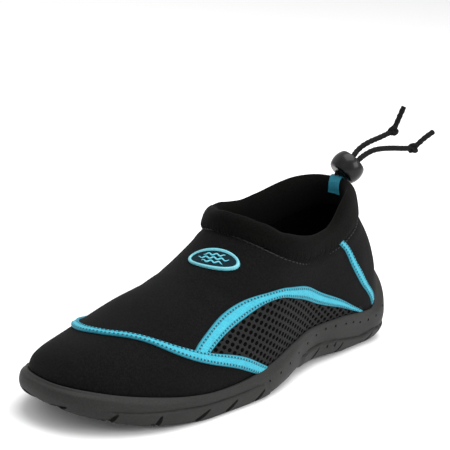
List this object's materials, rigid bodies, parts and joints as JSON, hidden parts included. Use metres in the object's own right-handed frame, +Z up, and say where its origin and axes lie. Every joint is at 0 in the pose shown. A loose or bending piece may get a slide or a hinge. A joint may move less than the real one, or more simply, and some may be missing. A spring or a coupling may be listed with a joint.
{
  "type": "water shoe",
  "caption": "Low slip-on water shoe: soft hollow upper, padded collar with a drawcord stop at the heel, and a thick rubber outsole that rises behind the heel.",
  "frame": {"origin": "on the ground, under the centre of the shoe's plan without its cord ends", "axes": "+Z up from the ground; +Y from toe to heel; +X toward the inner (big toe) side"},
  "size_m": [0.1018, 0.3231, 0.1448],
  "materials": {
    "outsole": "matt moulded rubber",
    "insole": "matt knit over foam",
    "upper": "matt knit-faced neoprene",
    "collar": "matt stretch knit, padded",
    "badge": "satin moulded patch with a pale blue rim",
    "webbing": "matt woven tape",
    "cord_stop": "satin moulded plastic",
    "cord": "matt braid"
  },
  "bodies": {
    "root": {"outsole": "outsole", "insole": "insole", "upper": "upper", "collar": "collar", "badge": "badge", "heel_tape": "webbing", "cord_stop": "cord_stop", "cord_end_upper": "cord", "cord_end_lower": "cord"}
  },
  "joints": []
}
